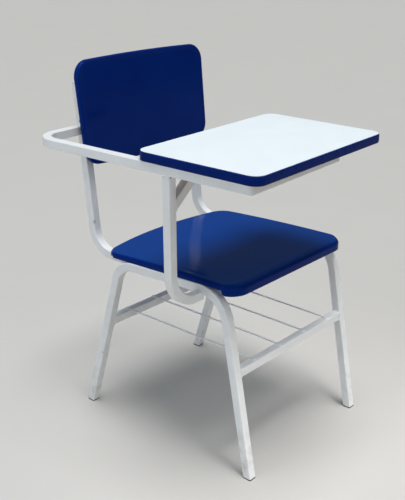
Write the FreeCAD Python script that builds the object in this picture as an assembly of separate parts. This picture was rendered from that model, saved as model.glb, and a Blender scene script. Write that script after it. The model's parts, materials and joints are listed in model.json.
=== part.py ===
import FreeCAD, Part
import math
import os

# Tablet arm chair, millimetres and degrees.
# +Z is up, the sitter faces -Y, and the arm with the writing tablet is on the -X side.

V = FreeCAD.Vector
X_AXIS = V(1, 0, 0)
Y_AXIS = V(0, 1, 0)
Z_AXIS = V(0, 0, 1)

# Square steel tube, the same all over the frame
tube = 20.0
tube_wall = 1.5
tube_corner = 2.0

# Leg frames: an upside-down U on each side
leg_spacing = 406.0
foot_span = 508.8
front_leg_angle = 11.1
rear_leg_angle = 16.0
rail_height = 412.7
rail_tilt = 2.5
front_leg_bend = 72.0
rear_leg_bend = 60.0

# Plugs and caps in the tube ends
foot_pad = 3.0
plug_lip = 2.5
plug_depth = 15.0
plug_fit = 0.1

# Stretchers and the book rack wires on them
stretcher_height = 243.0
wire_diameter = 4.0
wire_count = 4
wire_pitch = 94.0
wire_overhang = 6.0

# Back rails: seat rail and back post bent from one tube
seat_rail_lift = 1.1
seat_rail_tilt = 1.2
seat_rail_front = 158.0
post_corner = 239.0
post_lean = 6.75
post_top = 804.0
post_bend = 60.0

# Arm upright, arm tube, front rail and brace
arm_underside = 688.0
arm_reach = 303.0
upright_forward = 110.0
upright_bend = 70.0
upright_lean = 1.0
upright_cope = 5.0
upright_tuck = 6.0
arm_toe_in = 2.7
arm_bend = 50.0
front_rail_reach = 196.0
front_rail_length = 298.0
rail_corner = 12.0
brace_drop = 63.0
brace_angle = 40.0
brace_plate_length = 70.0
brace_plate_width = 40.0
brace_plate_thickness = 3.0

# Writing tablet
tablet_width = 460.0
tablet_depth = 302.5
tablet_thickness = 20.0
tablet_overhang = 4.5
tablet_reach = 224.5
tablet_turn = -0.9
tablet_corner = 26.0
laminate_thickness = 1.0
edge_band_width = 2.0
edge_band_round = 1.5
band_tongue_depth = 8.0
band_tongue_height = 2.4
band_tongue_fit = 0.1

# Seat shell
seat_width = 422.0
seat_front = 207.0
seat_rear = 212.0
seat_rear_radius = 700.0
seat_front_corner = 42.0
seat_rear_corner = 45.0
seat_rise = 15.0
seat_crown_radius = 5500.0
seat_crown_ahead = 120.0
seat_wall = 4.0
seat_skirt_gap = 0.5
seat_lip_drop = 9.5
seat_lip_length = 31.0
seat_lip_slope = 6.0
seat_nose_run = 20.0
seat_nose_fall = 6.5
seat_edge_round = 7.0
seat_dish_depth = 7.0
seat_dish_radius = 178.0
seat_dish_back = 22.0
seat_rear_clear = 1.5

# Backrest shell
back_width_top = 423.0
back_width_bottom = 414.0
back_height = 248.5
back_top = 857.0
back_top_bow = 4.0
back_bottom_bow = 9.5
back_standoff = 23.5
back_rim_depth = 12.0
back_wall = 4.0
back_corner = 38.0
back_edge_round = 4.5
back_hollow_depth = 5.0

# Screws
screw_diameter = 4.0
screw_head_diameter = 8.0
screw_head_height = 2.4
screw_fit = 0.05
screw_clearance = 0.4
seat_boss_diameter = 15.0
back_boss_diameter = 19.0
seat_screw_front = 125.0
seat_screw_rear = 125.0
seat_screw_bite = 5.5
back_screw_low = 90.5
back_screw_high = 60.0
back_screw_bite = 14.0
tablet_screw_bite = 11.0
arm_screw_behind = 42.0
arm_screw_ahead = 140.0
rail_screw_near = 90.0
rail_screw_far = 250.0
plate_screw_inset = 12.0

# Smallest radius left where a round corner is set in from the outside
least_corner = 0.3

# Values that follow from the sizes above
half_tube = tube / 2
bore = tube - 2 * tube_wall
bore_corner = max(tube_corner - tube_wall, least_corner)
leg_x = leg_spacing / 2
post_x = leg_x - tube
seat_rail_height = rail_height + seat_rail_lift
rail_slope = math.tan(math.radians(rail_tilt))
seat_rail_slope = math.tan(math.radians(seat_rail_tilt))
post_slope = math.tan(math.radians(post_lean))
tablet_base = arm_underside + tube
far = 4 * (leg_spacing + foot_span + back_top)


def rail_z(y):
    """Height of the leg frame's top rail axis at a place along the chair."""
    return rail_height - rail_slope * y


def seat_rail_z(y):
    """Height of the seat rail axis, which runs beside the leg rail at a flatter slope."""
    return seat_rail_height - seat_rail_slope * y


def leg_y(foot_y, angle, z):
    """Place of a leg's axis along the chair at a height; a leg leans to the middle as it rises."""
    lean = z * math.tan(math.radians(angle))
    return foot_y + lean if foot_y < 0 else foot_y - lean


def leg_corner(foot_y, angle):
    """Point where a leg's axis meets the rail's axis, before the bend is rounded."""
    slope = math.tan(math.radians(angle))
    inward = slope if foot_y < 0 else -slope
    z = (rail_height - rail_slope * foot_y) / (1 + rail_slope * inward)
    return V(0, foot_y + inward * z, z)


def rail_front():
    """Where the straight stretch of the leg frame's rail ends at the front."""
    turn = math.radians(90 - front_leg_angle + rail_tilt)
    return leg_corner(-foot_span / 2, front_leg_angle).y + front_leg_bend * math.tan(turn / 2)


def skirt_height(y):
    """Height of the seat's skirt over the seat rails, where it follows the leg frame's rail beside them."""
    return rail_z(y) - seat_rail_z(y) + seat_skirt_gap


def crown_height(y):
    """Height of the seat's top over the seat rails: highest towards the front, falling to the rear."""
    along = y + seat_crown_ahead
    return seat_rise - seat_crown_radius + math.sqrt(seat_crown_radius ** 2 - along ** 2)


def rounded_square(size, corner):
    """Closed outline of a square with round corners, centred in the XY plane."""
    h = size / 2
    c = corner
    mid = c * (1 - math.sqrt(0.5))
    edges = []
    for turn in range(4):
        side = Part.LineSegment(V(-h + c, -h), V(h - c, -h)).toShape()
        bend = Part.Arc(V(h - c, -h), V(h - mid, -h + mid), V(h, -h + c)).toShape()
        for edge in (side, bend):
            edge.rotate(V(0, 0, 0), Z_AXIS, 90 * turn)
            edges.append(edge)
    return Part.Wire(edges)


def rounded_path(points, radii):
    """Path of straight runs through points, with an arc of the given radius at each inner point."""
    edges = []
    start = points[0]
    for before, point, after, radius in zip(points, points[1:], points[2:], radii):
        back = (before - point).normalize()
        ahead = (after - point).normalize()
        half = back.getAngle(ahead) / 2
        run = radius / math.tan(half)
        middle = (back + ahead).normalize() * (radius / math.sin(half) - radius)
        edges.append(Part.LineSegment(start, point + back * run).toShape())
        edges.append(Part.Arc(point + back * run, point + middle, point + ahead * run).toShape())
        start = point + ahead * run
    edges.append(Part.LineSegment(start, points[-1]).toShape())
    return Part.Wire(edges)


def swept_bar(points, radii, side, size, corner):
    """Solid square bar along a path; side is square to the plane of the path."""
    section = rounded_square(size, corner)
    turn = FreeCAD.Rotation(side, V(0, 0, 0), points[1] - points[0], "ZXY")
    section.Placement = FreeCAD.Placement(points[0], turn)
    return rounded_path(points, radii).makePipeShell([section], True, False)


def steel_bar(points, radii, side):
    """Outside of a steel tube along a path, as one solid."""
    return swept_bar(points, radii, side, tube, tube_corner)


def steel_tube(points, radii, side):
    """Hollow square steel tube along a path."""
    inside = swept_bar(points, radii, side, bore, bore_corner)
    return steel_bar(points, radii, side).cut(inside)


def half_space(point, normal):
    """Large block that fills the side of a plane that the normal points to."""
    block = Part.makeBox(far, far, far, V(-far / 2, -far / 2, 0))
    block.Placement = FreeCAD.Placement(point, FreeCAD.Rotation(Z_AXIS, normal))
    return block


def end_plug(end, outward, side):
    """Plastic plug for a square-cut tube end: a lip on the end and a spigot in the bore."""
    lip = steel_bar([end, end + outward * plug_lip], [], side)
    spigot = swept_bar([end - outward * plug_depth, end], [], side, bore - 2 * plug_fit, bore_corner)
    return lip.fuse(spigot).removeSplitter()


def screw(seat, direction, length):
    """Pan-head screw: its head sits under the seat point and its shank runs along direction."""
    head = Part.makeCylinder(screw_head_diameter / 2, screw_head_height,
                             seat - direction * screw_head_height, direction)
    shank = Part.makeCylinder(screw_diameter / 2, length, seat, direction)
    return head.fuse(shank).removeSplitter()


def screw_hole(seat, direction, length, clearance):
    """Hole for a screw from its seat point."""
    return Part.makeCylinder(screw_diameter / 2 + clearance, length, seat, direction)


def leg_points():
    """Corners of a leg frame's path in the chair's middle plane, from below the floor and back."""
    half_span = foot_span / 2
    corners = [leg_corner(-half_span, front_leg_angle), leg_corner(half_span, rear_leg_angle)]
    ends = [V(0, leg_y(-half_span, front_leg_angle, -tube), -tube),
            V(0, leg_y(half_span, rear_leg_angle, -tube), -tube)]
    return [ends[0], corners[0], corners[1], ends[1]]


def leg_frame(side):
    """One upside-down U of tube, cut flat above the foot plugs."""
    points = [p + X_AXIS * (side * leg_x) for p in leg_points()]
    frame = steel_tube(points, [front_leg_bend, rear_leg_bend], X_AXIS)
    return frame.cut(half_space(V(0, 0, foot_pad), -Z_AXIS))


def foot_plug(side, foot_y, angle):
    """Foot with a flat pad under the tube end and a spigot up the leg."""
    at = V(side * leg_x, 0, 0)
    low = at + V(0, leg_y(foot_y, angle, -tube), -tube)
    high = at + V(0, leg_y(foot_y, angle, foot_pad + plug_depth), foot_pad + plug_depth)
    pad = steel_bar([low, high], [], X_AXIS)
    pad = pad.cut(half_space(V(0, 0, foot_pad), Z_AXIS)).cut(half_space(V(0, 0, 0), -Z_AXIS))
    spigot = swept_bar([low, high], [], X_AXIS, bore - 2 * plug_fit, bore_corner)
    spigot = spigot.cut(half_space(V(0, 0, foot_pad), -Z_AXIS))
    return pad.fuse(spigot).removeSplitter()


def stretcher(foot_y, angle):
    """Tube across the chair between the inner faces of two legs."""
    y = leg_y(foot_y, angle, stretcher_height)
    reach = leg_x - half_tube
    return steel_tube([V(-reach, y, stretcher_height), V(reach, y, stretcher_height)], [], Y_AXIS)


def rack_wire(x):
    """Round wire laid on both stretchers."""
    front = leg_y(-foot_span / 2, front_leg_angle, stretcher_height) - wire_overhang
    rear = leg_y(foot_span / 2, rear_leg_angle, stretcher_height) + wire_overhang
    z = stretcher_height + half_tube + wire_diameter / 2
    return Part.makeCylinder(wire_diameter / 2, rear - front, V(x, front, z), Y_AXIS)


def post_y(z):
    """Place of the back post's axis along the chair at a height."""
    return post_corner + post_slope * (z - seat_rail_z(post_corner))


def back_rail_points(side):
    """Front end, corner and top of one back rail's axis."""
    x = side * post_x
    return [V(x, -seat_rail_front, seat_rail_z(-seat_rail_front)),
            V(x, post_corner, seat_rail_z(post_corner)),
            V(x, post_y(post_top), post_top)]


def seat_place():
    """Frame of the seat: its plane lies on the seat rails, straight above the chair's middle."""
    tilt = FreeCAD.Rotation(X_AXIS, -seat_rail_tilt)
    return FreeCAD.Placement(V(0, 0, seat_rail_z(0)) + tilt.multVec(V(0, 0, half_tube)), tilt)


def back_place():
    """Frame of the backrest: on the front face of the back posts, Z up along the posts."""
    lean = FreeCAD.Rotation(X_AXIS, -post_lean)
    base = V(0, post_corner, seat_rail_z(post_corner))
    return FreeCAD.Placement(base + lean.multVec(V(0, -half_tube, 0)), lean)


def back_span():
    """Lowest and highest height of the backrest along the posts."""
    top = (back_top - back_place().Base.z) / math.cos(math.radians(post_lean))
    return top - back_height, top


def arm_place():
    """Frame of the arm: at the upright's top, turned in towards the sitter."""
    return FreeCAD.Placement(V(-arm_reach, -upright_forward, arm_underside),
                             FreeCAD.Rotation(Z_AXIS, arm_toe_in))


def seat_screw_seats():
    """Points under the seat rails where the seat screws' heads sit, in the seat's frame."""
    return [V(side * post_x, y, -tube) for side in (-1, 1) for y in (-seat_screw_front, seat_screw_rear)]


def back_screw_seats():
    """Points behind the back posts where the backrest screws' heads sit, in the backrest's frame."""
    low = back_span()[0]
    post_end = (post_top - back_place().Base.z) / math.cos(math.radians(post_lean))
    heights = (low + back_screw_low, post_end - back_screw_high)
    return [V(side * post_x, tube, z) for side in (-1, 1) for z in heights]


def placed(shape, place):
    """Shape moved from its own frame to the chair's frame."""
    moved = shape.copy()
    moved.Placement = place.multiply(moved.Placement)
    return moved


def back_rail(side):
    """Seat rail and back post of one side, with holes for the seat and backrest screws."""
    rail = steel_tube(back_rail_points(side), [post_bend], X_AXIS)
    for seat in seat_screw_seats():
        rail = rail.cut(placed(screw_hole(seat, Z_AXIS, tube, screw_clearance), seat_place()))
    for seat in back_screw_seats():
        rail = rail.cut(placed(screw_hole(seat, -Y_AXIS, tube, screw_clearance), back_place()))
    return rail


def back_rail_plugs(side):
    """Plug in the front end of the seat rail and cap on the top of the back post."""
    front, corner, top = back_rail_points(side)
    return (end_plug(front, (front - corner).normalize(), X_AXIS),
            end_plug(top, (top - corner).normalize(), X_AXIS))


def arm_return():
    """How far behind the upright the arm tube turns in, so that it meets the post's middle."""
    across = arm_reach - post_x - half_tube
    behind = post_y(arm_underside + half_tube) + upright_forward
    toe = math.radians(arm_toe_in)
    return behind * math.cos(toe) - across * math.sin(toe)


def arm_screw_seats():
    """Points under the arm tube and front rail where the tablet screws' heads sit, in the arm's frame."""
    along_arm = [V(0, y, 0) for y in (-arm_screw_ahead, arm_screw_behind)]
    along_rail = [V(x, -front_rail_reach, 0) for x in (rail_screw_near, rail_screw_far)]
    return along_arm, along_rail


def mitre():
    """Plane of the welded corner between the arm tube and the front rail, facing the front rail."""
    return V(0, -front_rail_reach, 0), V(1, -1, 0)


def corner_trim(inset):
    """What the round outer corner of the arm tube and front rail leaves off, set in by a wall or not."""
    radius = max(rail_corner - inset, least_corner)
    reach = half_tube - inset - radius
    centre = V(-reach, -front_rail_reach - reach, 0)
    block = Part.makeBox(far, far, far, centre - V(far, far, far / 2))
    return block.cut(Part.makeCylinder(radius, far, centre - Z_AXIS * (far / 2), Z_AXIS))


def corner_tube(points, radii):
    """Tube in the arm's frame whose outer wall runs round the front corner."""
    outside = steel_bar(points, radii, Z_AXIS).cut(corner_trim(0))
    inside = swept_bar(points, radii, Z_AXIS, bore, bore_corner).cut(corner_trim(tube_wall))
    return outside.cut(inside)


def arm_tube():
    """Arm rest: from the mitred front corner back, round the bend and in to the back post."""
    points = [V(0, -front_rail_reach - tube, half_tube), V(0, arm_return(), half_tube),
              V(arm_reach, arm_return(), half_tube)]
    arm = corner_tube(points, [arm_bend])
    corner, towards_rail = mitre()
    arm = arm.cut(half_space(corner, towards_rail))
    for seat in arm_screw_seats()[0]:
        arm = arm.cut(screw_hole(seat, Z_AXIS, tube, screw_clearance))
    return placed(arm, arm_place()).cut(half_space(V(-post_x - half_tube, 0, 0), X_AXIS))


def front_rail():
    """Tube under the front edge of the tablet, mitred to the arm tube."""
    points = [V(-tube, -front_rail_reach, half_tube), V(front_rail_length, -front_rail_reach, half_tube)]
    rail = corner_tube(points, [])
    corner, towards_rail = mitre()
    rail = rail.cut(half_space(corner, -towards_rail))
    for seat in arm_screw_seats()[1]:
        rail = rail.cut(screw_hole(seat, Z_AXIS, tube, screw_clearance))
    return placed(rail, arm_place())


def front_rail_plug():
    """Plug in the free end of the front rail."""
    end = V(front_rail_length, -front_rail_reach, half_tube)
    return placed(end_plug(end, X_AXIS, Z_AXIS), arm_place())


def upright_points():
    """Top, corner and end of the upright's axis; its foot run is coped to the leg frame's rail."""
    z = rail_z(-upright_forward) - tube + upright_cope
    lean = math.tan(math.radians(upright_lean))
    top = V(-arm_reach - tube * lean, -upright_forward, arm_underside + tube)
    corner = V(-arm_reach + (arm_underside - z) * lean, -upright_forward, z)
    return [top, corner, V(-leg_x - half_tube + upright_tuck, -upright_forward, z)]


def arm_upright():
    """J-shaped tube, cut flat under the arm and coped to the leg frame's rail."""
    upright = steel_tube(upright_points(), [upright_bend], Y_AXIS)
    upright = upright.cut(half_space(V(0, 0, arm_underside), Z_AXIS))
    rail = [p - X_AXIS * leg_x for p in leg_points()]
    return upright.cut(steel_bar(rail, [front_leg_bend, rear_leg_bend], X_AXIS))


def brace_line():
    """Middle of the brace at the upright's inner face, and at the plate under the tablet."""
    lean = math.radians(upright_lean)
    face = -arm_reach + half_tube / math.cos(lean) + brace_drop * math.tan(lean)
    low = V(face, -upright_forward, arm_underside - brace_drop)
    rise = tablet_base - brace_plate_thickness - low.z
    return low, low + V(rise / math.tan(math.radians(brace_angle)), 0, rise)


def tablet_brace():
    """Slanted tube, cut to the upright's face below and flat under the plate above."""
    low, high = brace_line()
    along = (high - low).normalize() * (2 * tube)
    brace = steel_tube([low - along, high + along], [], Y_AXIS)
    lean = math.radians(upright_lean)
    brace = brace.cut(half_space(low, V(-math.cos(lean), 0, -math.sin(lean))))
    return brace.cut(half_space(high, Z_AXIS))


def plate_screw_seats():
    """Points under the brace plate where its screws' heads sit, either side of the brace."""
    middle = brace_line()[1]
    reach = brace_plate_length / 2 - plate_screw_inset
    return [middle + X_AXIS * (way * reach) for way in (-1, 1)]


def brace_plate():
    """Flat plate on the brace's end, screwed to the board."""
    middle = brace_line()[1]
    corner = middle - V(brace_plate_length / 2, brace_plate_width / 2, 0)
    plate = Part.makeBox(brace_plate_length, brace_plate_width, brace_plate_thickness, corner)
    for seat in plate_screw_seats():
        plate = plate.cut(screw_hole(seat, Z_AXIS, brace_plate_thickness, screw_clearance))
    return plate


def tablet_place():
    """Frame of the tablet: the arm's, turned a little about the upright."""
    return arm_place().multiply(FreeCAD.Placement(V(0, 0, 0), FreeCAD.Rotation(Z_AXIS, tablet_turn)))


def tablet_block(inset, bottom, top):
    """Block with the tablet's rounded outline, set in from its edge, in the tablet's frame."""
    left = -half_tube - tablet_overhang + inset
    right = left + tablet_width - 2 * inset
    front = -tablet_reach + inset
    rear = front + tablet_depth - 2 * inset
    block = Part.makeBox(right - left, rear - front, top - bottom, V(left, front, bottom))
    upright_edges = [e for e in block.Edges if abs(e.tangentAt(e.FirstParameter).z) > 0.9]
    return block.makeFillet(max(tablet_corner - inset, least_corner), upright_edges)


def tongue_ring(fit):
    """Ring of the edge band's tongue, or of its groove with a fit around it."""
    middle = tube + tablet_thickness / 2
    low = middle - band_tongue_height / 2 - fit
    high = middle + band_tongue_height / 2 + fit
    outside = tablet_block(edge_band_width, low, high)
    return outside.cut(tablet_block(edge_band_width + band_tongue_depth + fit, low, high))


def tablet_board():
    """Wooden core with the groove for the edge band and blind holes for the screws."""
    board = tablet_block(edge_band_width, tube, tube + tablet_thickness - laminate_thickness)
    board = placed(board.cut(tongue_ring(band_tongue_fit)), tablet_place())
    seats = [arm_place().multVec(seat + Z_AXIS * tube) for group in arm_screw_seats() for seat in group]
    for seat in seats + [s + Z_AXIS * brace_plate_thickness for s in plate_screw_seats()]:
        board = board.cut(screw_hole(seat, Z_AXIS, tablet_screw_bite, screw_fit))
    return board


def tablet_laminate():
    """Thin sheet over the top of the board."""
    top = tube + tablet_thickness
    return placed(tablet_block(edge_band_width, top - laminate_thickness, top), tablet_place())


def tablet_edge_band():
    """Plastic band round the board, with rounded edges outside and a tongue inside."""
    block = tablet_block(0, tube, tube + tablet_thickness)
    rims = [e for e in block.Edges if abs(e.tangentAt(e.FirstParameter).z) < 0.1]
    block = block.makeFillet(edge_band_round, rims)
    band = block.cut(tablet_block(edge_band_width, tube, tube + tablet_thickness))
    return placed(band.fuse(tongue_ring(0)).removeSplitter(), tablet_place())


def tablet_screws():
    """Screws through the arm tube, front rail and plate into the board."""
    screws = []
    for group in arm_screw_seats():
        for seat in group:
            screws.append(screw(arm_place().multVec(seat), Z_AXIS, tube + tablet_screw_bite))
    for seat in plate_screw_seats():
        screws.append(screw(seat, Z_AXIS, brace_plate_thickness + tablet_screw_bite))
    return Part.makeCompound(screws)


def seat_outline(inset):
    """Closed outline of the seat in its plane: straight front and sides, bowed rear, round corners."""
    half = seat_width / 2 - inset
    front = -seat_front + inset
    bow = seat_rear_radius - inset
    bow_y = seat_rear - seat_rear_radius
    r_front = max(seat_front_corner - inset, least_corner)
    r_rear = max(seat_rear_corner - inset, least_corner)
    corner_y = bow_y + math.sqrt((bow - r_rear) ** 2 - (half - r_rear) ** 2)
    outward = V(half - r_rear, corner_y - bow_y).normalize()
    rear_end = V(0, bow_y) + outward * bow
    halfway = (outward + X_AXIS).normalize() * r_rear
    nick = r_front * (1 - math.sqrt(0.5))
    edges = [
        Part.LineSegment(V(-half + r_front, front), V(half - r_front, front)),
        Part.Arc(V(half - r_front, front), V(half - nick, front + nick), V(half, front + r_front)),
        Part.LineSegment(V(half, front + r_front), V(half, corner_y)),
        Part.Arc(V(half, corner_y), V(half - r_rear, corner_y) + halfway, rear_end),
        Part.Arc(rear_end, V(0, bow_y + bow), V(-rear_end.x, rear_end.y)),
        Part.Arc(V(-rear_end.x, rear_end.y), V(-half + r_rear - halfway.x, corner_y + halfway.y),
                 V(-half, corner_y)),
        Part.LineSegment(V(-half, corner_y), V(-half, front + r_front)),
        Part.Arc(V(-half, front + r_front), V(-half + nick, front + nick), V(-half + r_front, front)),
    ]
    return Part.Wire([e.toShape() for e in edges])


def across_chair(edges):
    """Slab across the whole seat with the given closed side view."""
    slab = Part.Face(Part.Wire(edges)).extrude(X_AXIS * (2 * seat_width))
    slab.translate(-X_AXIS * seat_width)
    return slab


def around_seat():
    """Front, rear and floor of a side view that reaches well past the seat."""
    return -seat_front - seat_width, seat_rear + seat_width, -seat_width


def seat_body(sunk):
    """Slab under the seat's side view, sunk below its top: a long crown and an arc down at the nose."""
    front, rear, floor = around_seat()
    nose = -seat_front + seat_nose_run
    top = [V(0, y, crown_height(y) - sunk) for y in (rear, (rear + nose) / 2, nose)]
    tip = V(0, -seat_front, top[-1].z - seat_nose_fall)
    fall = math.atan2(seat_nose_fall, seat_nose_run)
    start = math.asin((-nose - seat_crown_ahead) / seat_crown_radius)
    chord = math.hypot(seat_nose_fall, seat_nose_run)
    outward = V(0, -math.sin(fall), math.cos(fall)) * (chord / 2 * math.tan((fall - start) / 2))
    corners = [tip, V(0, front, tip.z), V(0, front, floor), V(0, rear, floor), top[0]]
    edges = [Part.LineSegment(a, b).toShape() for a, b in zip(corners, corners[1:])]
    edges.append(Part.Arc(*top).toShape())
    edges.append(Part.Arc(top[-1], (top[-1] + tip) / 2 + outward, tip).toShape())
    return across_chair(edges)


def skirt_trim():
    """Slab below the skirt's lower edge: deep at the front lip, over the rails, clear of the post bends."""
    front, rear, floor = around_seat()
    lip = -seat_front + seat_lip_length
    level = skirt_height(rail_front())
    step = post_corner - post_bend
    corners = [V(0, front, floor), V(0, front, -seat_lip_drop), V(0, lip, -seat_lip_drop),
               V(0, lip + seat_lip_slope, level), V(0, rail_front(), level),
               V(0, step - tube, skirt_height(step - tube)), V(0, step - half_tube, seat_rear_clear),
               V(0, rear, seat_rear_clear), V(0, rear, floor)]
    corners.append(corners[0])
    return across_chair([Part.LineSegment(a, b).toShape() for a, b in zip(corners, corners[1:])])


def prism(outline, bottom, top):
    """Upright prism over an outline in the XY plane."""
    block = Part.Face(outline).extrude(Z_AXIS * (top - bottom))
    block.translate(Z_AXIS * bottom)
    return block


def top_rim(block):
    """Edges where a block's top meets its upright sides."""
    rim = []
    for edge in block.Edges:
        faces = block.ancestorsOfType(edge, Part.Face)
        ups = [f.normalAt(*f.Surface.parameter(edge.CenterOfMass)).z for f in faces]
        if max(ups) > 0.7 and min(ups) < 0.1:
            rim.append(edge)
    return rim


def seat_shell():
    """Moulded seat: dished top, rolled edge, side skirts, deeper front lip and screw bosses below."""
    low = -seat_width / 2
    outside = prism(seat_outline(0), low, seat_width).common(seat_body(0))
    outside = outside.makeFillet(seat_edge_round, top_rim(outside))
    inner = prism(seat_outline(seat_wall), low, seat_width)
    hollow = inner.common(seat_body(seat_wall))
    bowl = (seat_dish_radius ** 2 + seat_dish_depth ** 2) / (2 * seat_dish_depth)
    centre = V(0, seat_dish_back, crown_height(seat_dish_back) - seat_dish_depth + bowl)
    outside = outside.cut(Part.makeSphere(bowl, centre))
    hollow = hollow.cut(Part.makeSphere(bowl, centre - Z_AXIS * seat_wall))
    shell = outside.cut(hollow).cut(skirt_trim().cut(inner))
    for seat in seat_screw_seats():
        boss_height = crown_height(seat.y) - seat_wall / 2
        boss = Part.makeCylinder(seat_boss_diameter / 2, boss_height, seat + Z_AXIS * tube, Z_AXIS)
        shell = shell.fuse(boss)
    for seat in seat_screw_seats():
        shell = shell.cut(screw_hole(seat + Z_AXIS * tube, Z_AXIS, seat_screw_bite, screw_fit))
    return placed(shell.removeSplitter(), seat_place())


def seat_screws():
    """Screws from below through the seat rails into the seat's bosses."""
    screws = [screw(seat, Z_AXIS, tube + seat_screw_bite) for seat in seat_screw_seats()]
    return placed(Part.makeCompound(screws), seat_place())


def back_block(inset, front, rear):
    """Block with the backrest's outline, wider at the top and bowed above and below, in its own frame."""
    low, high = back_span()
    low += inset
    high -= inset
    top = back_width_top / 2 - inset
    bottom = back_width_bottom / 2 - inset
    low_end = low + back_bottom_bow
    high_end = high - back_top_bow
    edges = [
        Part.Arc(V(-bottom, front, low_end), V(0, front, low), V(bottom, front, low_end)),
        Part.LineSegment(V(bottom, front, low_end), V(top, front, high_end)),
        Part.Arc(V(top, front, high_end), V(0, front, high), V(-top, front, high_end)),
        Part.LineSegment(V(-top, front, high_end), V(-bottom, front, low_end)),
    ]
    block = Part.Face(Part.Wire([e.toShape() for e in edges])).extrude(Y_AXIS * (rear - front))
    across = [e for e in block.Edges if abs(e.tangentAt(e.FirstParameter).y) > 0.9]
    return block.makeFillet(max(back_corner - inset, least_corner), across)


def back_shell():
    """Moulded backrest: gently hollow front, rolled rim turned back, and bosses to the posts."""
    low = back_span()[0]
    front = -back_standoff
    outside = back_block(0, front, front + back_rim_depth)
    rim = [e for e in outside.Edges if e.BoundBox.YMax < front + 0.01]
    outside = outside.makeFillet(back_edge_round, rim)
    half = back_width_bottom / 2
    hollow_radius = (half ** 2 + back_hollow_depth ** 2) / (2 * back_hollow_depth)
    axis = V(0, front + back_hollow_depth - hollow_radius, low - back_height)
    outside = outside.cut(Part.makeCylinder(hollow_radius, 3 * back_height, axis, Z_AXIS))
    inside = back_block(back_wall, front + back_wall, front + back_rim_depth)
    behind = axis + Y_AXIS * back_wall
    inside = inside.cut(Part.makeCylinder(hollow_radius, 3 * back_height, behind, Z_AXIS))
    shell = outside.cut(inside)
    boss_length = back_standoff - back_wall / 2
    for seat in back_screw_seats():
        boss = Part.makeCylinder(back_boss_diameter / 2, boss_length, V(seat.x, 0, seat.z), -Y_AXIS)
        shell = shell.fuse(boss)
    for seat in back_screw_seats():
        shell = shell.cut(screw_hole(V(seat.x, 0, seat.z), -Y_AXIS, back_screw_bite, screw_fit))
    return placed(shell.removeSplitter(), back_place())


def back_screws():
    """Screws from behind through the back posts into the backrest's bosses."""
    screws = [screw(seat, -Y_AXIS, tube + back_screw_bite) for seat in back_screw_seats()]
    return placed(Part.makeCompound(screws), back_place())


def all_pieces():
    """Every piece of the chair by name, in the frame centred between the feet."""
    pieces = {}
    half_span = foot_span / 2
    for name, side in (("right", -1), ("left", 1)):
        pieces[name + "_leg_frame"] = leg_frame(side)
        pieces[name + "_front_foot"] = foot_plug(side, -half_span, front_leg_angle)
        pieces[name + "_rear_foot"] = foot_plug(side, half_span, rear_leg_angle)
        pieces[name + "_back_rail"] = back_rail(side)
        pieces[name + "_rail_plug"], pieces[name + "_post_cap"] = back_rail_plugs(side)
    pieces["front_stretcher"] = stretcher(-half_span, front_leg_angle)
    pieces["rear_stretcher"] = stretcher(half_span, rear_leg_angle)
    for number in range(wire_count):
        x = (number - (wire_count - 1) / 2) * wire_pitch
        pieces["rack_wire_%d" % (number + 1)] = rack_wire(x)
    pieces["arm_tube"] = arm_tube()
    pieces["arm_upright"] = arm_upright()
    pieces["tablet_front_rail"] = front_rail()
    pieces["front_rail_plug"] = front_rail_plug()
    pieces["tablet_brace"] = tablet_brace()
    pieces["brace_plate"] = brace_plate()
    pieces["tablet_board"] = tablet_board()
    pieces["tablet_laminate"] = tablet_laminate()
    pieces["tablet_edge_band"] = tablet_edge_band()
    pieces["tablet_screws"] = tablet_screws()
    pieces["seat_shell"] = seat_shell()
    pieces["seat_screws"] = seat_screws()
    pieces["back_shell"] = back_shell()
    pieces["back_screws"] = back_screws()
    return pieces


def export(pieces):
    """Write each piece with the origin on the floor under the middle of the whole chair's box."""
    box = FreeCAD.BoundBox()
    for shape in pieces.values():
        box.add(shape.optimalBoundingBox(False))
    shift = V(-box.Center.x, -box.Center.y, -box.ZMin)
    os.makedirs("parts", exist_ok=True)
    for name, shape in pieces.items():
        moved = shape.copy()
        moved.translate(shift)
        moved.exportStep("parts/%s.step" % name)
        print(name, len(moved.Solids), moved.isValid(), round(moved.Volume))
    print("box", [round(v, 2) for v in (box.XLength, box.YLength, box.ZLength)], "shift", shift)


export(all_pieces())
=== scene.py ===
import json
import math

import bmesh
import bpy
from mathutils import Matrix, Vector


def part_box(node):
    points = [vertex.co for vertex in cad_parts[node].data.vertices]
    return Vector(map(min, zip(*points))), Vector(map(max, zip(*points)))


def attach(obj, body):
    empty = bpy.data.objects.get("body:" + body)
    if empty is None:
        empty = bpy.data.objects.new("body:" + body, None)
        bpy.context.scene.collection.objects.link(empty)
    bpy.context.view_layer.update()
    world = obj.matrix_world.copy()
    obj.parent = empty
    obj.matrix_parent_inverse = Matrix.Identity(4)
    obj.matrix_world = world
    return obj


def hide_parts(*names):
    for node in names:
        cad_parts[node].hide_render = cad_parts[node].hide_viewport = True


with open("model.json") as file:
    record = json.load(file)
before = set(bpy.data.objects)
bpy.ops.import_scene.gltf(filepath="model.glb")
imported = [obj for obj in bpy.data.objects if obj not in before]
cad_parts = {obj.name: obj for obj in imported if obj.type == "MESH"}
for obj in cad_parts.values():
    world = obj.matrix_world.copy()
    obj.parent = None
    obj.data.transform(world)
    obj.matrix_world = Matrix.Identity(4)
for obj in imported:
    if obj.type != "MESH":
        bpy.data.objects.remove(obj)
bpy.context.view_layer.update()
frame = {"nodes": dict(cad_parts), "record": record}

# Tablet arm chair in metres and degrees: +Z is up, the sitter faces -Y, the arm is on the -X side.
# Places marked "from the feet" are measured from the middle between the four feet, on the floor.

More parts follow.
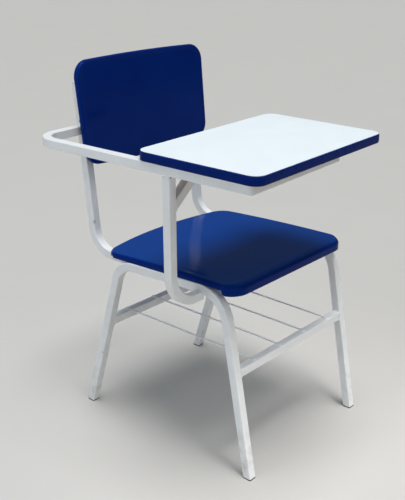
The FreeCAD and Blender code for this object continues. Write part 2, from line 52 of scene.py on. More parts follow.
# Camera: place from the feet, direction, and focal length in pixels of a picture this high
CAMERA_PLACE = (-1.4919, -1.2303, 1.1620)
CAMERA_AZIMUTH = -49.05
CAMERA_ELEVATION = 21.11
CAMERA_ROLL = 0.45
CAMERA_FOCAL = 869.1
PICTURE_HEIGHT = 500
SENSOR = 36.0

# Where the front stretcher's axis lies from the feet, which ties the two frames together
FRONT_STRETCHER_Y = -0.206725

# Seat: its plane lies on the seat rails; the nose grows as the rim turns to face forward
SEAT_PLANE_Z = 0.4238
SEAT_TILT = 1.2
SEAT_HALF_WIDTH = 0.211
SEAT_FRONT = 0.207
SEAT_REAR = 0.212
SEAT_REAR_RADIUS = 0.700
SEAT_FRONT_CORNER = 0.042
SEAT_REAR_CORNER = 0.045
SEAT_RISE = 0.015
SEAT_CROWN_RADIUS = 5.5
SEAT_CROWN_AHEAD = 0.120
SEAT_ROLL = 0.0075
SEAT_NOSE_RUN = 0.020
SEAT_NOSE_DROP = 0.0105
SEAT_NOSE_START = 0.1
SEAT_NOSE_FULL = 0.95
SEAT_LIP = -0.0095
SEAT_LIP_END = -0.176
SEAT_STEP = 0.006
SEAT_SKIRT = 0.0019
SEAT_SKIRT_BEND = -0.110
SEAT_SKIRT_SLOPE = -0.0227
SEAT_REAR_STEP = 0.159
SEAT_REAR_CLEAR = 0.0015
SEAT_DISH = 0.007
SEAT_DISH_RADIUS = 0.178
SEAT_DISH_BACK = 0.022
SEAT_DISH_EDGE = 1.12
SEAT_MIDDLE = 0.005

# Moulded bead round the rim of both shells and the shallow valley inside it
RIM_BEAD = 0.0004
RIM_VALLEY = 0.0002
RIM_WIDTH = 0.0095
RIM_BEAD_SPREAD = 0.45 * RIM_WIDTH
RIM_VALLEY_SPREAD = 0.6 * RIM_WIDTH

# Backrest: its plane is the front of the back posts
BACK_PLACE = (0.0, 0.2291, 0.4100)
BACK_LEAN = 6.75
BACK_LOW = 0.2016
BACK_HEIGHT = 0.2485
BACK_TOP_BOW = 0.004
BACK_BOTTOM_BOW = 0.0095
BACK_HALF_TOP = 0.2115
BACK_HALF_BOTTOM = 0.207
BACK_CORNER = 0.038
BACK_STANDOFF = 0.0235
BACK_RIM = 0.012
BACK_ROLL = 0.0055
BACK_HOLLOW = 0.005

# Walls and screw bosses of the shells
SHELL_WALL = 0.004
SEAT_BOSS_RADIUS = 0.0075
BACK_BOSS_RADIUS = 0.0095

# Writing tablet: rounded outline turned with the arm, measured from the upright's top
TABLET_PLACE = (-0.303, -0.110, 0.7080)
TABLET_TURN = 1.8
TABLET_LEFT = -0.0145
TABLET_WIDTH = 0.460
TABLET_FRONT = -0.2245
TABLET_DEPTH = 0.3025
TABLET_CORNER = 0.026
BAND_HEIGHT = 0.020
BAND_WIDTH = 0.002
BAND_ROUND = 0.0045
BAND_SIDES = 8

# Screws: a tip that ends in a blunt point, and the turn in radians from one cross to the next
SCREW_RADIUS = 0.002
SCREW_HEAD_RADIUS = 0.004
SCREW_HEAD_HEIGHT = 0.0024
SCREW_TIP = 0.0035
SCREW_POINT = 0.0002
SCREW_POINT_SHARE = 0.15
SCREW_TURN = 0.7

# Weld beads: ripples along them, a slow wander in their thickness, and thinner ones at small joints
WELD_RADIUS = 0.0019
WELD_STEP = 0.0007
WELD_RIPPLE = 0.0026
WELD_RIPPLE_SWELL = 0.16
WELD_WANDER_RATE = 410
WELD_WANDER_SWELL = 0.10
WELD_FILL = 0.92
BRACE_WELD_RADIUS = WELD_RADIUS * 0.8
RACK_WIRES = 4
TACK_RADIUS = WELD_RADIUS * 0.75
TACK_LENGTH = 0.011
TACK_LIFT = 0.0006

# Fineness of the meshes
SEAT_END_STEPS = 40
SEAT_SIDE_STEPS = 110
SEAT_CORNER_STEPS = 14
ROLL_STEPS = 15
PANEL_STEPS = 14
PANEL_FINE_SHARE = 0.11
BOSS_SIDES = 32
BEAD_SIDES = 10
HEAD_SIDES = 40
SHANK_SIDES = 16

# Dark marks on the paint, from the feet: place, radius, how dark; among them painted shade in a gap and
# a pit
PAINT_MARKS_AND_SHADE = [
    ((-0.193, 0.2358, 0.4811), 0.0075, 0.55),
    ((0.193, -0.2146, 0.3228), 0.006, 0.6),
    ((-0.213, -0.2190, 0.3988), 0.010, 0.35),
    # Painted shade: the dark gap between the top of the arm upright and the arm tube
    ((-0.3085, -0.1200, 0.6870), 0.0046, 1.0),
    # Painted shade: a small pit at the end of the J under the seat rail, in two spots
    ((-0.2237, -0.1168, 0.4125), 0.0022, 0.9),
    ((-0.2233, -0.1250, 0.4120), 0.0020, 0.6),
    ((-0.193, 0.2736, 0.7165), 0.0035, 0.9),
    ((-0.213, 0.2027, 0.1551), 0.0035, 0.5),
]


def feet_origin():
    """The middle between the feet, on the floor, in the part's own frame."""
    _, left_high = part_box("left_front_foot")
    right_low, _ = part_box("right_front_foot")
    low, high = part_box("front_stretcher")
    return Vector(((left_high.x + right_low.x) / 2, (low.y + high.y) / 2 - FRONT_STRETCHER_Y, 0))


ORIGIN = feet_origin()


def from_feet(place):
    """A place measured from the feet, in the part's own frame."""
    return ORIGIN + Vector(place)


def smooth_step(low, high, value):
    """0 below low, 1 above high, and an even S between them."""
    t = min(max((value - low) / (high - low), 0.0), 1.0)
    return t * t * (3 - 2 * t)


# Outlines: lists of (point, outward normal) in a plane, anticlockwise

def line_points(start, end, count):
    """Points along a straight side, its end left out."""
    along = (end - start).normalized()
    normal = Vector((along.y, -along.x))
    return [(start.lerp(end, i / count), normal.copy()) for i in range(count)]


def arc_points(centre, radius, start, end, count):
    """Points along an arc between two angles, its end left out."""
    found = []
    for i in range(count):
        angle = start + (end - start) * i / count
        normal = Vector((math.cos(angle), math.sin(angle)))
        found.append((centre + normal * radius, normal))
    return found


def seat_outline():
    """Straight front and sides, a bowed rear, and round corners."""
    bow = Vector((0, SEAT_REAR - SEAT_REAR_RADIUS))
    side = SEAT_HALF_WIDTH - SEAT_REAR_CORNER
    corner_y = bow.y + math.sqrt((SEAT_REAR_RADIUS - SEAT_REAR_CORNER) ** 2 - side ** 2)
    turn = math.atan2(corner_y - bow.y, side)
    front = -SEAT_FRONT
    inner = front + SEAT_FRONT_CORNER
    half = SEAT_HALF_WIDTH
    wide = half - SEAT_FRONT_CORNER
    right_angle = math.pi / 2
    return (
        line_points(Vector((-wide, front)), Vector((wide, front)), SEAT_END_STEPS)
        + arc_points(Vector((wide, inner)), SEAT_FRONT_CORNER, -right_angle, 0, SEAT_CORNER_STEPS)
        + line_points(Vector((half, inner)), Vector((half, corner_y)), SEAT_SIDE_STEPS)
        + arc_points(Vector((side, corner_y)), SEAT_REAR_CORNER, 0, turn, SEAT_CORNER_STEPS)
        + arc_points(bow, SEAT_REAR_RADIUS, turn, math.pi - turn, SEAT_END_STEPS)
        + arc_points(Vector((-side, corner_y)), SEAT_REAR_CORNER, math.pi - turn, math.pi,
                     SEAT_CORNER_STEPS)
        + line_points(Vector((-half, corner_y)), Vector((-half, inner)), SEAT_SIDE_STEPS)
        + arc_points(Vector((-wide, inner)), SEAT_FRONT_CORNER, math.pi, math.pi + right_angle,
                     SEAT_CORNER_STEPS)
    )


def polygon_outline(corners, radius, along, around):
    """A polygon with round corners; corners run anticlockwise."""
    found = []
    count = len(corners)
    for i, corner in enumerate(corners):
        before = (corners[i - 1] - corner).normalized()
        after = (corners[(i + 1) % count] - corner).normalized()
        half = before.angle(after) / 2
        centre = corner + (before + after).normalized() * (radius / math.sin(half))
        run = radius / math.tan(half)
        start = math.atan2(before.x, -before.y)
        turn = math.pi - 2 * half
        found += arc_points(centre, radius, start, start + turn, around)
        following = corners[(i + 1) % count]
        next_before = -after
        next_half = next_before.angle((corners[(i + 2) % count] - following).normalized()) / 2
        next_run = radius / math.tan(next_half)
        found += line_points(corner + after * run, following + next_before * next_run, along)
    return found


# Meshes

def mesh_piece(name, bm, slot, material, *stands_for):
    """An object of the chair from a bmesh in the part's own frame."""
    bmesh.ops.recalc_face_normals(bm, faces=bm.faces)
    mesh = bpy.data.meshes.new(name)
    bm.to_mesh(mesh)
    bm.free()
    mesh.shade_smooth()
    piece = bpy.data.objects.new(name, mesh)
    bpy.context.scene.collection.objects.link(piece)
    mesh.materials.append(material)
    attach(piece, "root")
    if stands_for:
        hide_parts(*stands_for)


def bridge(bm, first, second, closed=True):
    """Quads between two rows of as many vertices."""
    count = len(first)
    for i in range(count if closed else count - 1):
        j = (i + 1) % count
        bm.faces.new((first[i], first[j], second[j], second[i]))


def rolled_rows(outline, roll_of, foot_of, height, steps):
    """Rows of points up the rim's wall from its foot and over its roll, a quarter of an ellipse."""
    rows = [[] for _ in range(steps + 1)]
    wall_steps = steps // 3
    for point, normal in outline:
        run, drop = roll_of(point, normal)
        inner = point - normal * run
        low = height(inner) - drop
        foot = min(foot_of(point), low)
        for step, row in enumerate(rows):
            if step < wall_steps:
                row.append(Vector((point.x, point.y, foot + (low - foot) * step / wall_steps)))
                continue
            angle = math.pi / 2 * (step - wall_steps) / (steps - wall_steps)
            flat = inner + normal * (run * math.cos(angle))
            swell = rim_bead(0.0) * math.sin(angle)
            row.append(Vector((flat.x, flat.y, low + drop * math.sin(angle) + swell)))
    return rows


def rim_bead(inward):
    """Height of the moulded bead round a shell's rim and of the shallow valley inside it."""
    bead = RIM_BEAD * math.exp(-(inward / RIM_BEAD_SPREAD) ** 2)
    return bead - RIM_VALLEY * math.exp(-((inward - RIM_WIDTH) / RIM_VALLEY_SPREAD) ** 2)


def panel_rows(rim, centre, height, steps):
    """Rows of points from a rim in to the middle, closer near the rim, at the heights of a surface."""
    rows = []
    near = PANEL_FINE_SHARE
    shares = [near * step / steps for step in range(1, steps + 1)]
    shares += [near + (1 - near) * step / steps for step in range(1, steps)]
    for share in shares:
        row = []
        for point in rim:
            start = Vector((point.x, point.y))
            flat = start.lerp(centre, share)
            row.append(Vector((flat.x, flat.y, height(flat) + rim_bead((flat - start).length))))
        rows.append(row)
    return rows


def add_boss(bm, place, foot, top, radius):
    """Round boss with a slight draft and a foot that flares into the wall."""
    profile = [(radius * 0.55, foot), (radius * 0.94, foot), (radius, foot + radius * 0.06),
               (radius * 1.02, top - radius * 0.2), (radius * 1.12, top)]
    rings = []
    for r, z in profile:
        ring = []
        for i in range(BOSS_SIDES):
            angle = 2 * math.pi * i / BOSS_SIDES
            ring.append(bm.verts.new((place.x + r * math.cos(angle), place.y + r * math.sin(angle), z)))
        rings.append(ring)
    for first, second in zip(rings, rings[1:]):
        bridge(bm, first, second)
    bm.faces.new(rings[0])
    bm.faces.new(rings[-1])


def shell_bmesh(outline, roll_of, foot_of, height, centre):
    """One skin of a moulded shell: rolled rim and a panel that closes in its middle."""
    rows = rolled_rows(outline, roll_of, foot_of, height, ROLL_STEPS)
    rows += panel_rows(rows[-1], centre, height, PANEL_STEPS)
    bm = bmesh.new()
    rings = [[bm.verts.new(point) for point in row] for row in rows]
    for first, second in zip(rings, rings[1:]):
        bridge(bm, first, second)
    middle = bm.verts.new((centre.x, centre.y, height(centre)))
    last = rings[-1]
    for i, vert in enumerate(last):
        bm.faces.new((vert, last[(i + 1) % len(last)], middle))
    return bm


def thicken(bm, wall):
    """Gives one skin its wall, on the inner side."""
    bmesh.ops.recalc_face_normals(bm, faces=bm.faces)
    bm.normal_update()
    skin = list(bm.verts)
    inner = {v: bm.verts.new(v.co - v.normal * wall) for v in skin}
    outer_faces = list(bm.faces)
    edges = [e for e in bm.edges if e.is_boundary]
    for face in outer_faces:
        bm.faces.new([inner[v] for v in reversed(face.verts)])
    for edge in edges:
        a, b = edge.verts
        bm.faces.new((a, b, inner[b], inner[a]))


def seat_matrix():
    """Frame of the seat: Z square to its plane."""
    return Matrix.Translation(from_feet((0, 0, SEAT_PLANE_Z))) @ Matrix.Rotation(
        math.radians(-SEAT_TILT), 4, "X")


def back_matrix():
    """Frame of the backrest: Y up along the posts and Z towards the sitter."""
    lean = Matrix.Rotation(math.radians(-BACK_LEAN), 4, "X")
    turn = Matrix.Rotation(math.radians(90), 4, "X")
    return Matrix.Translation(from_feet(BACK_PLACE)) @ lean @ turn


def seat_height(point):
    """Top of the seat: a long crown with a round dish in its middle."""
    crown = SEAT_RISE - (point.y + SEAT_CROWN_AHEAD) ** 2 / (2 * SEAT_CROWN_RADIUS)
    away = math.hypot(point.x, point.y - SEAT_DISH_BACK) / SEAT_DISH_RADIUS
    return crown - SEAT_DISH * (1 - smooth_step(0.0, SEAT_DISH_EDGE, away))


def seat_roll(point, normal):
    """Run and drop of the rim's roll: small at the sides and rear, a long nose at the front."""
    nose = smooth_step(SEAT_NOSE_START, SEAT_NOSE_FULL, -normal.y)
    run = SEAT_ROLL + (SEAT_NOSE_RUN - SEAT_ROLL) * nose
    drop = SEAT_ROLL + (SEAT_NOSE_DROP - SEAT_ROLL) * nose
    return run, drop


def seat_foot(point):
    """Lower edge of the rim: a deep lip in front, the rails at the sides, clear of the post bends."""
    skirt = SEAT_SKIRT + SEAT_SKIRT_SLOPE * max(point.y - SEAT_SKIRT_BEND, 0.0)
    side = SEAT_LIP + (skirt - SEAT_LIP) * smooth_step(SEAT_LIP_END, SEAT_LIP_END + SEAT_STEP, point.y)
    rear = smooth_step(SEAT_REAR_STEP, SEAT_REAR_STEP + SEAT_STEP, point.y)
    return side + (SEAT_REAR_CLEAR - side) * rear


def screw_islands(node, axis):
    """Where each screw of a node starts and ends along an axis."""
    bm = bmesh.new()
    bm.from_mesh(frame["nodes"][node].data)
    bmesh.ops.remove_doubles(bm, verts=bm.verts, dist=1e-6)
    left = set(bm.verts)
    found = []
    while left:
        island = [left.pop()]
        for vert in island:
            for edge in vert.link_edges:
                other = edge.other_vert(vert)
                if other in left:
                    left.remove(other)
                    island.append(other)
        points = [v.co for v in island]
        low = min(p.dot(axis) for p in points)
        high = max(p.dot(axis) for p in points)
        middle = sum(points, Vector()) / len(points)
        flat = middle - axis * middle.dot(axis)
        found.append((flat + axis * low, flat + axis * high))
    bm.free()
    return sorted(found, key=lambda ends: tuple(round(c, 4) for c in ends[0]))


def seat_piece(material):
    """Moulded seat with its bosses."""
    bm = shell_bmesh(seat_outline(), seat_roll, seat_foot, seat_height, Vector((0, SEAT_MIDDLE)))
    thicken(bm, SHELL_WALL)
    place = seat_matrix()
    inverse = place.inverted()
    for _, tip in screw_islands("seat_screws", place.to_3x3() @ Vector((0, 0, 1))):
        at = inverse @ tip
        add_boss(bm, at, 0.0, seat_height(at) - SHELL_WALL / 2, SEAT_BOSS_RADIUS)
    bm.transform(place)
    mesh_piece("seat", bm, "shell_plastic", material, "seat_shell")


def with_normals(points):
    """The points of a closed outline, each with a normal square to the line between its neighbours."""
    found = []
    for i, point in enumerate(points):
        along = (points[(i + 1) % len(points)] - points[i - 1]).normalized()
        found.append((point, Vector((along.y, -along.x))))
    return found


def back_outline():
    """A rounded panel, a little wider at the top, with its top and bottom edges bowed."""
    low = BACK_LOW + BACK_BOTTOM_BOW
    high = BACK_LOW + BACK_HEIGHT - BACK_TOP_BOW
    corners = [Vector((-BACK_HALF_BOTTOM, low)), Vector((BACK_HALF_BOTTOM, low)),
               Vector((BACK_HALF_TOP, high)), Vector((-BACK_HALF_TOP, high))]
    points = []
    for point, _ in polygon_outline(corners, BACK_CORNER, along=34, around=16):
        up = 2 * (point.y - low) / (high - low) - 1
        bow = BACK_TOP_BOW if up > 0 else BACK_BOTTOM_BOW
        points.append(Vector((point.x, point.y + bow * up * (1 - (point.x / BACK_HALF_TOP) ** 2))))
    return with_normals(points)


def back_height(point):
    """Front of the backrest: gently hollow from side to side."""
    across = min(abs(point.x) / BACK_HALF_BOTTOM, 1.0)
    return BACK_STANDOFF - BACK_HOLLOW * (1 - across ** 2)


def back_roll(point, normal):
    """Run and drop of the backrest's roll, the same all round."""
    return BACK_ROLL, BACK_ROLL


def back_foot(point):
    """Rear edge of the backrest's rim."""
    return BACK_STANDOFF - BACK_RIM


def back_piece(material):
    """Moulded backrest with the bosses that stand on the posts."""
    centre = Vector((0, BACK_LOW + BACK_HEIGHT / 2))
    bm = shell_bmesh(back_outline(), back_roll, back_foot, back_height, centre)
    thicken(bm, SHELL_WALL)
    place = back_matrix()
    inverse = place.inverted()
    for _, tip in screw_islands("back_screws", place.to_3x3() @ Vector((0, 0, 1))):
        at = inverse @ tip
        add_boss(bm, at, 0.0, back_height(at) - SHELL_WALL / 2, BACK_BOSS_RADIUS)
    bm.transform(place)
    mesh_piece("backrest", bm, "shell_plastic", material, "back_shell")


def band_profile():
    """Section of the edge band as (inset, height): a flat middle, rounded to the board's faces."""
    last = math.acos(1 - BAND_WIDTH / BAND_ROUND)
    below = []
    above = []
    for step in range(BAND_SIDES + 1):
        share = step / BAND_SIDES
        angle = last * share
        above.append((BAND_ROUND * (1 - math.cos(angle)),
                      BAND_HEIGHT - BAND_ROUND * (1 - math.sin(angle))))
        angle = math.pi / 2 * share
        below.append((BAND_WIDTH * (1 - math.cos(angle)), BAND_ROUND * (1 - math.sin(angle))))
    return below[::-1] + above


def tablet_matrix():
    """Frame of the tablet: on the arm tube, turned with it."""
    return Matrix.Translation(from_feet(TABLET_PLACE)) @ Matrix.Rotation(
        math.radians(TABLET_TURN), 4, "Z")


def edge_band_piece(material):
    """Soft-edged band round the writing board."""
    right = TABLET_LEFT + TABLET_WIDTH
    rear = TABLET_FRONT + TABLET_DEPTH
    corners = [Vector((TABLET_LEFT, TABLET_FRONT)), Vector((right, TABLET_FRONT)),
               Vector((right, rear)), Vector((TABLET_LEFT, rear))]
    bm = bmesh.new()
    rings = []
    for inset, z in band_profile():
        ring = []
        for point, normal in polygon_outline(corners, TABLET_CORNER, along=12, around=14):
            flat = point - normal * inset
            ring.append(bm.verts.new((flat.x, flat.y, z)))
        rings.append(ring)
    for first, second in zip(rings, rings[1:] + rings[:1]):
        bridge(bm, first, second)
    bm.transform(tablet_matrix())
    mesh_piece("edge_band", bm, "tablet_edge", material, "tablet_edge_band")


# Welds

def bead_rows(path, radius, closed):
    """Rings round a path, with the ripples of a weld and a little wander."""
    length = sum((b - a).length for a, b in zip(path, path[1:] + path[:1] if closed else path[1:]))
    count = max(int(length / WELD_STEP), 8)
    points = resample(path, count, closed)
    rows = []
    for i, point in enumerate(points):
        after = points[(i + 1) % count] if closed else points[min(i + 1, count - 1)]
        before = points[i - 1] if closed or i else points[0]
        along = (after - before).normalized()
        side = along.orthogonal().normalized()
        other = along.cross(side)
        place = i * length / count
        ripple = WELD_RIPPLE_SWELL * abs(math.sin(math.pi * place / WELD_RIPPLE))
        swell = 1 + ripple + WELD_WANDER_SWELL * math.sin(place * WELD_WANDER_RATE)
        if not closed:
            end = min(i, count - 1 - i) * length / count
            swell *= math.sqrt(min(1.0, (end + WELD_STEP / 2) / (2 * radius)))
        rows.append([point + (side * math.cos(a) + other * math.sin(a)) * (radius * swell * WELD_FILL)
                     for a in (2 * math.pi * k / BEAD_SIDES for k in range(BEAD_SIDES))])
    return rows


def resample(path, count, closed):
    """Points at even steps along straight runs."""
    runs = list(zip(path, path[1:] + path[:1] if closed else path[1:]))
    lengths = [(b - a).length for a, b in runs]
    total = sum(lengths)
    found = []
    for i in range(count):
        left = total * i / (count if closed else count - 1)
        for (a, b), length in zip(runs, lengths):
            if left <= length or (a, b) == runs[-1]:
                found.append(a.lerp(b, min(left / length, 1.0)))
                break
            left -= length
    return found


def add_bead(bm, path, radius=WELD_RADIUS, closed=True):
    """One weld bead along a path."""
    rows = bead_rows(path, radius, closed)
    rings = []
    previous = None
    for row in rows:
        if previous is not None:
            shift = min(range(BEAD_SIDES), key=lambda k: (row[k] - previous[0]).length)
            row = row[shift:] + row[:shift]
            if (row[1] - previous[1]).length > (row[-1] - previous[1]).length:
                row = [row[0]] + row[:0:-1]
        previous = row
        rings.append([bm.verts.new(p) for p in row])
    for first, second in zip(rings, rings[1:]):
        bridge(bm, first, second)
    if closed:
        last = rings[-1]
        shift = min(range(BEAD_SIDES), key=lambda k: (rings[0][k].co - last[0].co).length)
        bridge(bm, last, rings[0][shift:] + rings[0][:shift])
        return
    bm.faces.new(rings[0])
    bm.faces.new(rings[-1])


def end_points(node, axis, largest, slack=0.0008):
    """Vertices of a node at one end along an axis."""
    points = [v.co for v in frame["nodes"][node].data.vertices]
    values = [p[axis] for p in points]
    edge = max(values) if largest else min(values)
    return [p for p, value in zip(points, values) if abs(value - edge) < slack]


def end_loop(node, axis, largest, corner=0.003):
    """Rounded loop round a tube's end that is square to an axis."""
    points = end_points(node, axis, largest)
    low = Vector([min(p[k] for p in points) for k in range(3)])
    high = Vector([max(p[k] for p in points) for k in range(3)])
    flat = [k for k in range(3) if k != axis]
    corners = [Vector((low[flat[0]], low[flat[1]])), Vector((high[flat[0]], low[flat[1]])),
               Vector((high[flat[0]], high[flat[1]])), Vector((low[flat[0]], high[flat[1]]))]
    loop = []
    for point, _ in polygon_outline(corners, corner, along=6, around=4):
        place = Vector()
        place[axis] = (low[axis] + high[axis]) / 2
        place[flat[0]], place[flat[1]] = point.x, point.y
        loop.append(place)
    return loop


def frame_welds(material):
    """Beads where the tubes of the frame meet."""
    bm = bmesh.new()
    for node in ("front_stretcher", "rear_stretcher"):
        add_bead(bm, end_loop(node, 0, True))
        add_bead(bm, end_loop(node, 0, False))
    add_bead(bm, end_loop("arm_tube", 0, True))
    add_bead(bm, end_loop("arm_upright", 2, True))
    add_bead(bm, end_loop("tablet_brace", 2, True), BRACE_WELD_RADIUS)
    add_bead(bm, end_loop("tablet_brace", 0, False), BRACE_WELD_RADIUS)
    mesh_piece("frame_welds", bm, "frame_paint", material)


def rack_welds(material):
    """Small tacks either side of each wire on the stretchers."""
    bm = bmesh.new()
    for number in range(1, RACK_WIRES + 1):
        low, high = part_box("rack_wire_%d" % number)
        for node in ("front_stretcher", "rear_stretcher"):
            rail_low, rail_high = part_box(node)
            middle = (rail_low.y + rail_high.y) / 2
            top = rail_high.z + TACK_LIFT
            for x in (low.x, high.x):
                ends = [Vector((x, middle + way * TACK_LENGTH / 2, top)) for way in (-1, 1)]
                add_bead(bm, ends, TACK_RADIUS, closed=False)
    mesh_piece("rack_welds", bm, "frame_paint", material)


# Screws

def screw_head_mesh(radius, height):
    """Pan head with a cross recess, its seat at the origin and its crown along -Z."""
    bm = bmesh.new()
    profile = [(radius, 0.0), (radius, -0.35 * height), (0.93 * radius, -0.68 * height),
               (0.72 * radius, -0.90 * height), (0.45 * radius, -0.98 * height)]
    count = HEAD_SIDES
    slot = 0.17 * radius
    reach = 0.62 * radius
    rings = []
    for r, z in profile:
        rings.append([bm.verts.new((r * math.cos(2 * math.pi * i / count),
                                    r * math.sin(2 * math.pi * i / count), z)) for i in range(count)])
    for first, second in zip(rings, rings[1:]):
        bridge(bm, first, second)
    inner = rings[-1]
    recess = []
    pit = []
    for i in range(count):
        angle = 2 * math.pi * i / count
        x, y = abs(math.cos(angle)), abs(math.sin(angle))
        wing = min(slot / max(min(x, y), 1e-6), reach) * 0.72
        recess.append(bm.verts.new((wing * math.cos(angle), wing * math.sin(angle), -0.97 * height)))
        deep = 0.7 * wing
        pit.append(bm.verts.new((deep * math.cos(angle), deep * math.sin(angle), -0.4 * height)))
    bridge(bm, inner, recess)
    bridge(bm, recess, pit)
    bm.faces.new(pit)
    bm.faces.new(rings[0])
    mesh = bpy.data.meshes.new("screw_head")
    bm.to_mesh(mesh)
    bm.free()
    return mesh


def screws_piece(name, node, axis, head, material):
    """Cross-recess screws in the places of a node's plain ones."""
    bm = bmesh.new()
    for number, (start, end) in enumerate(screw_islands(node, axis)):
        spin = Matrix.Rotation(SCREW_TURN * number, 4, "Z")
        turn = axis.to_track_quat("Z", "Y").to_matrix().to_4x4() @ spin
        before = len(bm.verts)
        bm.from_mesh(head)
        bm.verts.ensure_lookup_table()
        place = Matrix.Translation(start + axis * SCREW_HEAD_HEIGHT) @ turn
        bmesh.ops.transform(bm, matrix=place, verts=bm.verts[before:])
        add_shank(bm, start + axis * SCREW_HEAD_HEIGHT, end, axis)
    mesh_piece(name, bm, "screw_steel", material, node)


def all_screws(material):
    """The screws of the tablet, the seat and the backrest, each along its own piece's normal."""
    head = screw_head_mesh(SCREW_HEAD_RADIUS, SCREW_HEAD_HEIGHT)
    up = Vector((0, 0, 1))
    screws_piece("tablet_fixings", "tablet_screws", up, head, material)
    screws_piece("seat_fixings", "seat_screws", seat_matrix().to_3x3() @ up, head, material)
    screws_piece("back_fixings", "back_screws", back_matrix().to_3x3() @ up, head, material)
    bpy.data.meshes.remove(head)


def add_shank(bm, start, end, axis):
    """Shank of a screw with a pointed tip."""
    side = axis.orthogonal().normalized()
    other = axis.cross(side)
    rings = []
    length = (end - start).length
    profile = [(0.0, 1.0), (1 - SCREW_TIP / length, 1.0), (1 - SCREW_POINT / length, SCREW_POINT_SHARE)]
    for share, width in profile:
        place = start.lerp(end, share)
        radius = SCREW_RADIUS * width
        rings.append([bm.verts.new(place + (side * math.cos(a) + other * math.sin(a)) * radius)
                      for a in (2 * math.pi * k / SHANK_SIDES for k in range(SHANK_SIDES))])
    for first, second in zip(rings, rings[1:]):
        bridge(bm, first, second)
    bm.faces.new(rings[0])
    bm.faces.new(rings[-1])


# Materials: linear colours with their alpha

PAINT_WHITE = (0.79, 0.795, 0.80, 1)
PAINT_SHADE = (0.755, 0.76, 0.765, 1)
PAINT_DIRT = (0.42, 0.38, 0.32, 1)
# Near black, for chips down to the metal and for painted shade in a gap and a pit
PAINT_CHIP_AND_SHADE = (0.050, 0.045, 0.045, 1)
SHELL_BLUE = (0.0020, 0.018, 0.149, 1)
SHELL_DEEP = (0.0016, 0.015, 0.134, 1)
# Lighter blue painted on the seat's top for the light it catches
SHELL_PAINTED_LIGHT = (0.0035, 0.043, 0.236, 1)
SHELL_SCRATCH = (0.12, 0.17, 0.36, 1)
SHELL_GLINT = (0.15, 0.40, 1.0, 1)
LAMINATE_WHITE = (0.815, 0.875, 0.90, 1)
LAMINATE_SPECK = (0.745, 0.795, 0.815, 1)
LAMINATE_SMUDGE = (0.66, 0.70, 0.71, 1)
BAND_BLUE = (0.004, 0.018, 0.14, 1)
BAND_DEEP = (0.003, 0.014, 0.11, 1)
BAND_GLINT = (0.25, 0.45, 1.0, 1)
BOARD_LIGHT = (0.36, 0.24, 0.135, 1)
BOARD_DARK = (0.23, 0.145, 0.075, 1)
BOARD_FLECK = (0.46, 0.34, 0.21, 1)
FOOT_GREY = (0.03, 0.03, 0.032, 1)
FOOT_DUST = (0.22, 0.20, 0.17, 1)
CAP_WHITE = (0.76, 0.755, 0.74, 1)
CAP_DUST = (0.50, 0.47, 0.42, 1)
ZINC_BRIGHT = (0.62, 0.61, 0.58, 1)
ZINC_BLOOM = (0.45, 0.42, 0.34, 1)
FLOOR_PALE = (0.53, 0.510, 0.485, 1)
FLOOR_SHADE = (0.51, 0.490, 0.465, 1)

# Heights at which the painted light on the seat's top fades out, and at which the dirt on the legs does
PAINTED_LIGHT_FULL = SEAT_PLANE_Z + 0.05
PAINTED_LIGHT_END = SEAT_PLANE_Z + 0.15
DIRT_TOP = 0.16


